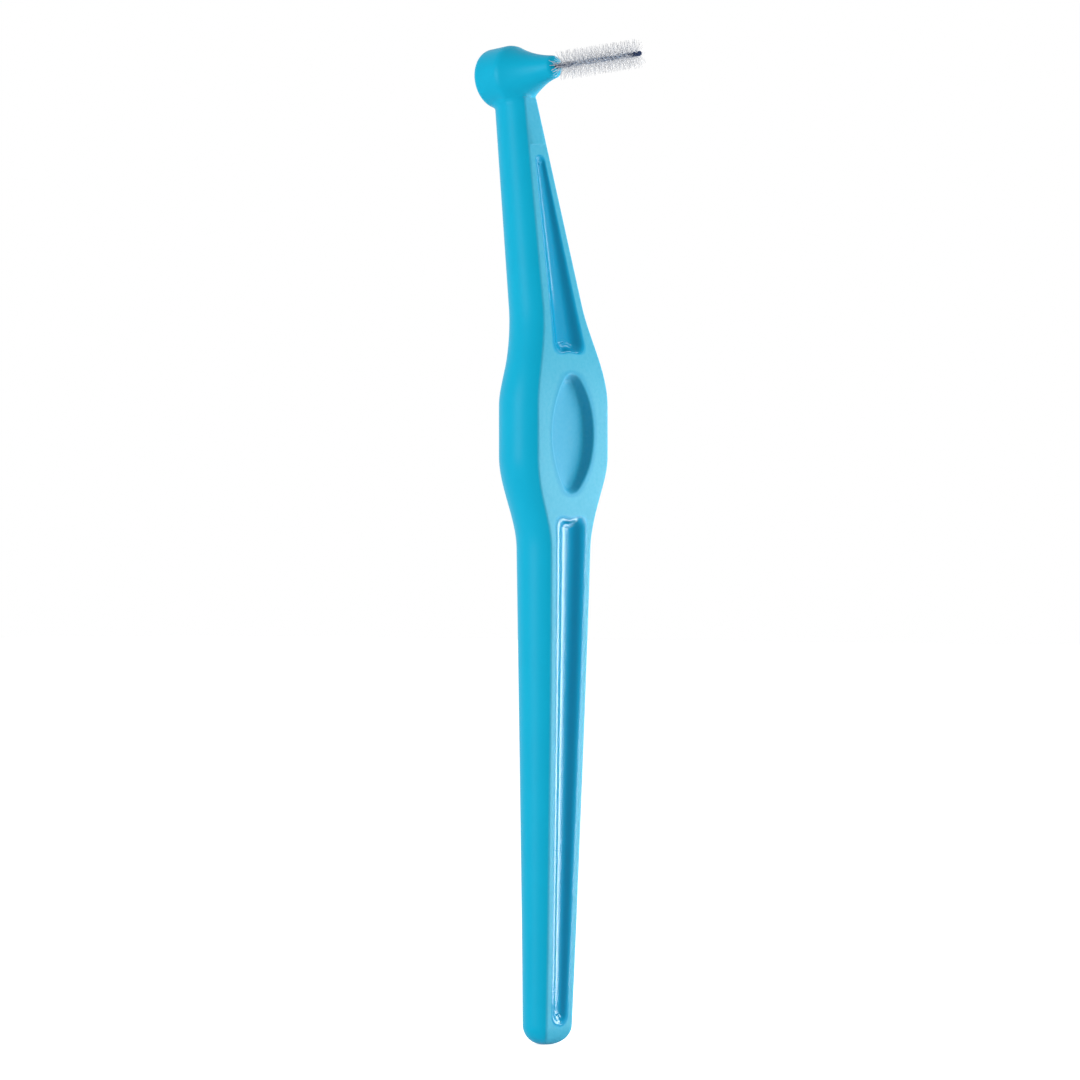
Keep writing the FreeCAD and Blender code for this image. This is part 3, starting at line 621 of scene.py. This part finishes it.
for zone_name in ZONES:
    values = read(joined.attributes[zone_name].data, "value", ())
    joined.attributes[zone_name].data.foreach_set("value", np.where(all_satin, 0.0, values))
joined.shade_smooth()
joined.set_sharp_from_angle(angle=SHARP_ANGLE)
print(int((pull > 0).sum()), "points softened")
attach(handle, "root")
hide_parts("handle")

# %% [markdown]
# ## The twisted wire
# One wire is folded double and its legs are twisted together, which traps the filaments between
# them. Its middle line is a helix up, a half circle round the fold and a helix down. At each
# point the direction out from the axis is square to the wire, so a round section can be carried
# along the line with no other frame. Both bare ends are a little thicker and their legs touch,
# and the coating is drawn paler along the middle of the brush.

# %% Twisted legs and fold
STRAND_RADIUS, LEG_OFFSET, BARE_RADIUS = 0.145, 0.1875, 0.15
HALF_TURN, FAN_COUNT, NOSE_GAP, BARE_TIP = 0.70, 18, 0.40, 0.57
BRUSH_TILT, TWIST_EASE, SPREAD_LENGTH, BORE_CLEARANCE = 4.3, 0.35, 0.2, 0.02
WIRE_STEPS_PER_MM, FOLD_STEPS, WIRE_SIDES = 18, 14, 12
NOSE = RIM + BELL_LENGTH * HEAD_AHEAD
AXIS, UPRIGHT = tilted_axes(BRUSH_TILT)
LAST_FAN = NOSE_GAP + FAN_COUNT * HALF_TURN
WIRE_END = LAST_FAN + BARE_TIP - 2 * BARE_RADIUS
HELD_PLACES = [0, NOSE_GAP - SPREAD_LENGTH, NOSE_GAP, LAST_FAN, LAST_FAN + SPREAD_LENGTH, WIRE_END]
PALE_MIDDLE_PLACES = [2.0, 3.4, LAST_FAN - 1.7, LAST_FAN - 1.0]


def on_axis(along, across, up):
    """Points given along, across and up from the brush axis, counted from the nose."""
    return NOSE + along[..., None] * AXIS + across[..., None] * ACROSS + up[..., None] * UPRIGHT


def twist(x):
    """Turn of the legs, counted back from the upright fold; the twist eases off just before it."""
    left = WIRE_END - x
    eased = np.where(left < TWIST_EASE, left ** 2 / 2 / TWIST_EASE, left - TWIST_EASE / 2)
    return math.pi / 2 - math.pi / HALF_TURN * eased


def wire_line():
    """Middle line, direction out, radius and paleness of the coating along leg, fold and leg."""
    count = int((WIRE_END + BORE_DEPTH) * WIRE_STEPS_PER_MM)
    x = np.linspace(-BORE_DEPTH + BORE_CLEARANCE, WIRE_END, count)
    held = np.interp(x, HELD_PLACES, [0, 0, 1, 1, 0, 0])
    offset = BARE_RADIUS + (LEG_OFFSET - BARE_RADIUS) * held
    fold = np.linspace(0, math.pi, FOLD_STEPS + 1)[1:-1]
    along = np.concatenate([x, WIRE_END + BARE_RADIUS * np.sin(fold), x[::-1]])
    side = np.concatenate([np.ones_like(x), np.cos(fold), -np.ones_like(x)])
    turn = np.concatenate([twist(x), np.full_like(fold, twist(WIRE_END)), twist(x)[::-1]])
    ahead = np.concatenate([np.zeros_like(x), np.sin(fold), np.zeros_like(x)])
    reach = side * np.concatenate([offset, np.full_like(fold, BARE_RADIUS), offset[::-1]])
    line = on_axis(along, reach * np.cos(turn), reach * np.sin(turn))
    out = on_axis(ahead, side * np.cos(turn), side * np.sin(turn)) - NOSE
    leg = BARE_RADIUS + (STRAND_RADIUS - BARE_RADIUS) * held
    radius = np.concatenate([leg, np.full_like(fold, BARE_RADIUS), leg[::-1]])
    return line, out, radius, np.interp(along, PALE_MIDDLE_PLACES, [0, 1, 1, 0])


def swept(line, out, radius, sides):
    """A round section carried along a line: the out direction and the one square to it and to the line."""
    ahead = np.gradient(line, axis=0)
    ahead /= np.linalg.norm(ahead, axis=-1, keepdims=True)
    out = out - (out * ahead).sum(axis=-1, keepdims=True) * ahead
    out /= np.linalg.norm(out, axis=-1, keepdims=True)
    beside = np.cross(ahead, out)
    angle = np.linspace(0, 2 * math.pi, sides, endpoint=False)[:, None]
    radius = np.broadcast_to(radius, len(line))[:, None, None]
    tube = line[:, None] + radius * (np.cos(angle) * out[:, None] + np.sin(angle) * beside[:, None])
    return np.concatenate([line[None, :1].repeat(sides, axis=1), tube, line[None, -1:].repeat(sides, axis=1)])


*wire_path, pale_middle = wire_line()
pale_middle = np.pad(pale_middle, 1, mode="edge")[:, None, None]
wire = piece_from_grids("twisted_pair", [(swept(*wire_path, WIRE_SIDES), True, pale_middle)], ("pale_middle",))
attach(wire, "root")
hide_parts("twisted_wire")

# %% [markdown]
# ## The filaments
# Each nylon filament lies across the axis, pinched at its middle, and the twist turns one after
# the other like the steps of a spiral stair. New ones are nearly straight but never exactly:
# each arm leans and bends a little and is cut a little shorter. Every half turn of the twist is
# a piece of its own, as in the frame. A seeded generator makes the same brush each time.

# %% Fans of filaments
FILAMENTS_PER_FAN, FILAMENT_RADIUS, FILAMENT_SIDES = 22, 0.021, 4
BRISTLE_RADIUS, SEED = 1.84, 7
PLACE_SPREAD, LENGTH_SPREAD = (0.2, 0.8), (0.9, 1.0)
LEAN_SPREAD, BEND_SPREAD, TURN_SPREAD, LEAN_POWER = 0.16, 0.12, 0.05, 1.5
ARM = np.array([-1.0, -0.8, -0.55, -0.3, -0.1, 0.1, 0.3, 0.55, 0.8, 1.0])
rng = np.random.default_rng(SEED)


def filament_lines(number):
    """Middle lines of one fan: a straight line across the axis, with each arm leaning and bending off it."""
    arm = np.where(ARM < 0, 0, 1)
    both_arms = (FILAMENTS_PER_FAN, 2)
    place = np.arange(FILAMENTS_PER_FAN) + rng.uniform(*PLACE_SPREAD, FILAMENTS_PER_FAN)
    x = NOSE_GAP + (number + place / FILAMENTS_PER_FAN) * HALF_TURN
    length = BRISTLE_RADIUS * rng.uniform(*LENGTH_SPREAD, both_arms)[:, arm]
    lean = rng.normal(0, LEAN_SPREAD, both_arms)[:, arm]
    bend = rng.normal(0, BEND_SPREAD, both_arms)[:, arm]
    turn = twist(x)[:, None] + rng.normal(0, TURN_SPREAD, both_arms)[:, arm] + bend * ARM ** 2
    reach = length * ARM
    along = x[:, None] + lean * np.abs(ARM) ** LEAN_POWER
    return on_axis(along, -reach * np.sin(turn), reach * np.cos(turn))


reach_out = np.abs(np.concatenate([ARM[:1], ARM, ARM[-1:]]))[:, None, None]
fans = []
for number in range(FAN_COUNT):
    tubes = [swept(line, np.broadcast_to(AXIS, line.shape), FILAMENT_RADIUS, FILAMENT_SIDES)
             for line in filament_lines(number)]
    grids = [(tube, True, reach_out) for tube in tubes]
    fan = piece_from_grids(f"filaments_{number + 1:02d}", grids, ("reach",))
    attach(fan, "root")
    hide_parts(f"bristle_fan_{number + 1:02d}")
    fans.append(fan)

# %% [markdown]
# ## Finishes
# One turquoise polypropylene makes the whole handle, but the mould's surface gives it three looks:
# satin sides, frosted flat faces and polished slots. The frosted faces' paler, greyer colour is partly
# their texture and partly painted sheen. The slots' deeper colour is partly their polish and partly
# painted shade in the recess. The oval is frosted too, in a deeper tone that is painted shade in the
# recess. The zone values on the mesh choose between them, and noise in object coordinates gives each
# its grain, so nothing slides in another view. The wire's coating is navy and paler along the middle
# of the brush. The nylon is pale, with painted shade that greys it near the wire, where little light
# reaches.

# %% Material helpers
# places of the Mix node's sockets for colours, whose names repeat
MIX_FACTOR, MIX_LOW, MIX_HIGH, MIX_RESULT = 0, 6, 7, 2


def new_finish(name):
    """A new node material, with its node tree and its shader."""
    material = bpy.data.materials.new(name)
    material.use_nodes = True
    tree = material.node_tree
    return material, tree, tree.nodes["Principled BSDF"]


def add_node(tree, kind, links=None, **settings):
    """A node with settings; its inputs, by name or place, get linked sockets or plain values."""
    node = tree.nodes.new(kind)
    for key, setting in settings.items():
        setattr(node, key, setting)
    for key, given in (links or {}).items():
        if isinstance(given, bpy.types.NodeSocket):
            tree.links.new(given, node.inputs[key])
        else:
            node.inputs[key].default_value = given
    return node


def grain(tree, scale, detail=2.0):
    """Noise in object coordinates; the scale is in cells per metre."""
    place = add_node(tree, "ShaderNodeTexCoord").outputs["Object"]
    noise = add_node(tree, "ShaderNodeTexNoise", {"Vector": place, "Scale": scale, "Detail": detail})
    return noise.outputs["Fac"]


def between_values(tree, factor, low, high):
    """A number that goes from low to high with the factor; either end may be a socket."""
    limits = {"Value": factor, "To Min": low, "To Max": high}
    return add_node(tree, "ShaderNodeMapRange", limits).outputs["Result"]


def between_colours(tree, factor, low, high):
    """A colour that goes from low to high with the factor; either end may be a socket."""
    mix = add_node(tree, "ShaderNodeMix", data_type="RGBA")
    tree.links.new(factor, mix.inputs[MIX_FACTOR])
    for place, given in ((MIX_LOW, low), (MIX_HIGH, high)):
        if isinstance(given, bpy.types.NodeSocket):
            tree.links.new(given, mix.inputs[place])
        else:
            mix.inputs[place].default_value = (*given, 1.0)
    return mix.outputs[MIX_RESULT]


def zone_value(tree, name):
    """One of the zone values stored on the mesh."""
    return add_node(tree, "ShaderNodeAttribute", attribute_name=name).outputs["Fac"]

# %% Handle finish
TURQUOISE, TURQUOISE_LIGHT = (0.001, 0.405, 0.635), (0.002, 0.445, 0.675)
# the frosted colours are paler and greyer than the turquoise, partly for the texture and partly as painted
# sheen
FROSTED_WITH_PAINTED_SHEEN, FROSTED_LIGHT_WITH_PAINTED_SHEEN, POLISHED_WITH_PAINTED_SHADE = (0.03, 0.36, 0.54), (0.08, 0.435, 0.605), (0.0005, 0.282, 0.50)
SATIN_ROUGHNESS, FROSTED_ROUGHNESS, POLISHED_ROUGHNESS = (0.36, 0.44), (0.58, 0.66), 0.14
PEEL_HEIGHT, PEEL_STRENGTH, POLISHED_PEEL_STRENGTH = 0.0001, 0.05, 0.004
FROST_HEIGHT, SATIN_STRENGTH, FROST_STRENGTH = 0.00004, 0.02, 0.30
PLASTIC_SPECULAR = 0.10

plastic, tree, shader = new_finish("satin_turquoise_moulding")
frost_and_sheen, polish_and_shade = zone_value(tree, "frost_and_sheen"), zone_value(tree, "polish_and_shade")
cloud, speckle = grain(tree, scale=120.0), grain(tree, scale=2400.0, detail=4.0)
fine, peel = grain(tree, scale=9000.0, detail=3.0), grain(tree, scale=1600.0)

colour = between_colours(tree, cloud, TURQUOISE, TURQUOISE_LIGHT)
# painted sheen: the frosted zone takes its paler colour here
colour = between_colours(tree, frost_and_sheen, colour, between_colours(tree, speckle, FROSTED_WITH_PAINTED_SHEEN, FROSTED_LIGHT_WITH_PAINTED_SHEEN))
# painted shade: the slots take the deeper colour, partly for their polish, and the oval takes it as shade
# alone
colour = between_colours(tree, polish_and_shade, colour, POLISHED_WITH_PAINTED_SHADE)
tree.links.new(colour, shader.inputs["Base Color"])

satin = between_values(tree, cloud, *SATIN_ROUGHNESS)
rough = between_values(tree, fine, *FROSTED_ROUGHNESS)
gloss = add_node(tree, "ShaderNodeMath", {0: polish_and_shade, 1: frost_and_sheen}, operation="SUBTRACT", use_clamp=True)
roughness = between_values(tree, frost_and_sheen, satin, rough)
roughness = between_values(tree, gloss.outputs[0], roughness, POLISHED_ROUGHNESS)
tree.links.new(roughness, shader.inputs["Roughness"])

peel_strength = between_values(tree, polish_and_shade, PEEL_STRENGTH, POLISHED_PEEL_STRENGTH)
frost_strength = between_values(tree, frost_and_sheen, SATIN_STRENGTH, FROST_STRENGTH)
peel_bump = add_node(tree, "ShaderNodeBump",
                     {"Height": peel, "Distance": PEEL_HEIGHT, "Strength": peel_strength})
frost_bump = add_node(tree, "ShaderNodeBump",
                      {"Height": fine, "Distance": FROST_HEIGHT, "Strength": frost_strength,
                       "Normal": peel_bump.outputs["Normal"]})
tree.links.new(frost_bump.outputs["Normal"], shader.inputs["Normal"])
shader.inputs["Specular IOR Level"].default_value = PLASTIC_SPECULAR
handle.data.materials.clear()
handle.data.materials.append(plastic)
print("handle finish", plastic.name, "with", len(tree.nodes), "nodes")

# %% Wire finish
COATING, COATING_LIGHT = (0.005, 0.015, 0.055), (0.02, 0.045, 0.13)
# the coating is drawn paler along the middle of the brush
PALE_MIDDLE, PALE_MIDDLE_LIGHT = (0.22, 0.29, 0.41), (0.34, 0.41, 0.53)
COATING_ROUGHNESS, COATING_SPECULAR = (0.3, 0.5), 0.2

coating, tree, shader = new_finish("dark_wire_coating")
speck = grain(tree, scale=5000.0)
dark = between_colours(tree, speck, COATING, COATING_LIGHT)
pale_coating = between_colours(tree, speck, PALE_MIDDLE, PALE_MIDDLE_LIGHT)
colour = between_colours(tree, zone_value(tree, "pale_middle"), dark, pale_coating)
tree.links.new(colour, shader.inputs["Base Color"])
tree.links.new(between_values(tree, speck, *COATING_ROUGHNESS), shader.inputs["Roughness"])
shader.inputs["Specular IOR Level"].default_value = COATING_SPECULAR
wire.data.materials.append(coating)
print("wire finish", coating.name, "with", len(tree.nodes), "nodes")

# %% Filament finish
# the near-core colour is painted shade: the nylon is drawn greyer near the wire, where the filaments shade it
NYLON, NYLON_LIGHT, NYLON_PAINTED_CORE_SHADE = (0.55, 0.56, 0.60), (0.75, 0.77, 0.80), (0.34, 0.41, 0.53)
NYLON_ROUGHNESS = (0.25, 0.4)
CORE_FROM, CORE_TO = 0.1, 0.35

nylon, tree, shader = new_finish("pale_nylon")
speck = grain(tree, scale=2500.0)
pale = between_colours(tree, speck, NYLON, NYLON_LIGHT)
reach = zone_value(tree, "reach")
from_core = add_node(tree, "ShaderNodeMapRange", {"Value": reach, "From Min": CORE_FROM, "From Max": CORE_TO})
# painted shade towards the wire
shaded = between_colours(tree, from_core.outputs["Result"], NYLON_PAINTED_CORE_SHADE, pale)
tree.links.new(shaded, shader.inputs["Base Color"])
tree.links.new(between_values(tree, speck, *NYLON_ROUGHNESS), shader.inputs["Roughness"])
for fan in fans:
    fan.data.materials.append(nylon)
print("filament finish", nylon.name, "on", len(fans), "fans")

# %% [markdown]
# ## Camera, floor and light
# The brush stands on its end on a white floor. The camera looks level at its middle through a long
# lens. One soft light stands to the left and reaches the rounded side, and a large one to the right
# lights the flat front. Two narrow strips stand close by on the right and are seen only in
# reflections, where they draw the bright stripes along the slots.

# %% Camera
VIEW_AZIMUTH, VIEW_DISTANCE, FRAME_WIDTH = math.radians(42), 1.0, 0.12965
VIEW_CENTRE = np.array([-0.00118, 0.0, 0.0605])
SENSOR_WIDTH = 36.0


def bearing(degrees, distance, height):
    """A place at an angle round the brush from the camera's bearing, positive to the camera's right."""
    angle = VIEW_AZIMUTH + math.radians(degrees)
    return VIEW_CENTRE * [1, 1, 0] + [distance * math.sin(angle), -distance * math.cos(angle), height]


def aimed(item, place, target=VIEW_CENTRE):
    """Put a camera or a lamp at a place, looking at a target."""
    item.location = place
    item.rotation_euler = Vector(target - np.array(place)).to_track_quat("-Z", "Y").to_euler()
    bpy.context.scene.collection.objects.link(item)
    return item


camera = bpy.data.objects.new("camera", bpy.data.cameras.new("camera"))
aimed(camera, bearing(0, VIEW_DISTANCE, VIEW_CENTRE[2]))
camera.data.sensor_width = SENSOR_WIDTH
camera.data.lens = SENSOR_WIDTH * VIEW_DISTANCE / FRAME_WIDTH
camera.data.clip_start, camera.data.clip_end = 0.01, 20.0
bpy.context.scene.camera = camera
print("lens", round(camera.data.lens, 1), "mm")

# %% Floor and room
WHITE, PAPER = (1.0, 1.0, 1.0, 1.0), (0.82, 0.82, 0.82, 1.0)
ROOM_LIGHT, ROOM_SEEN = 0.50, 1.0
FLOOR_HALF, FLOOR_GLOW, FLOOR_ROUGHNESS = 3, 0.66, 0.9


def where_seen(tree, unseen, seen):
    """One strength where the camera, a glossy or a clear surface looks, and another for the light given."""
    path = add_node(tree, "ShaderNodeLightPath").outputs
    looks = path["Is Camera Ray"]
    for kind in ("Is Transmission Ray", "Is Glossy Ray"):
        looks = add_node(tree, "ShaderNodeMath", {0: looks, 1: path[kind]}, operation="MAXIMUM").outputs[0]
    return between_values(tree, looks, unseen, seen)


world = bpy.data.worlds.new("white_room")
bpy.context.scene.world = world
world.use_nodes = True
background = world.node_tree.nodes["Background"]
world.node_tree.links.new(where_seen(world.node_tree, ROOM_LIGHT, ROOM_SEEN), background.inputs["Strength"])
background.inputs["Color"].default_value = WHITE

floor_mesh = bpy.data.meshes.new("floor")
corners = [(FLOOR_HALF * x, FLOOR_HALF * y, 0) for x, y in ((-1, -1), (1, -1), (1, 1), (-1, 1))]
floor_mesh.from_pydata(corners, [], [(0, 1, 2, 3)])
floor = bpy.data.objects.new("floor", floor_mesh)
bpy.context.scene.collection.objects.link(floor)
paper, tree, shader = new_finish("white_floor")
shader.inputs["Base Color"].default_value = PAPER
shader.inputs["Roughness"].default_value = FLOOR_ROUGHNESS
tree.links.new(where_seen(tree, 0.0, FLOOR_GLOW), shader.inputs["Emission Strength"])
shader.inputs["Emission Color"].default_value = WHITE
floor_mesh.materials.append(paper)
bpy.context.scene.view_settings.view_transform = "Standard"
print("floor of", 2 * FLOOR_HALF, "m")

# %% Lamps
def soft_lamp(name, degrees, distance, height, width, tall, power):
    """A rectangular soft light, upright and turned towards the brush."""
    lamp = bpy.data.lights.new(name, "AREA")
    lamp.shape, lamp.size, lamp.size_y, lamp.energy = "RECTANGLE", width, tall, power
    place = bearing(degrees, distance, height)
    return aimed(bpy.data.objects.new(name, lamp), place, VIEW_CENTRE * [1, 1, 0] + [0, 0, height])


left = soft_lamp("left_softbox", -56, distance=0.55, height=0.12, width=0.17, tall=0.40, power=2.0)
right = soft_lamp("right_softbox", 100, distance=0.50, height=0.10, width=0.30, tall=0.30, power=3.2)
right.visible_glossy = False
strips = (
    soft_lamp("right_strip", 103.3, distance=0.047, height=0.0415, width=0.0162, tall=0.082, power=0.13),
    soft_lamp("upper_strip", 107.5, distance=0.047, height=0.1145, width=0.008, tall=0.028, power=0.0085),
)
for strip in strips:
    strip.visible_diffuse = strip.visible_camera = False
print("lamps", [lamp.name for lamp in (left, right, *strips)])
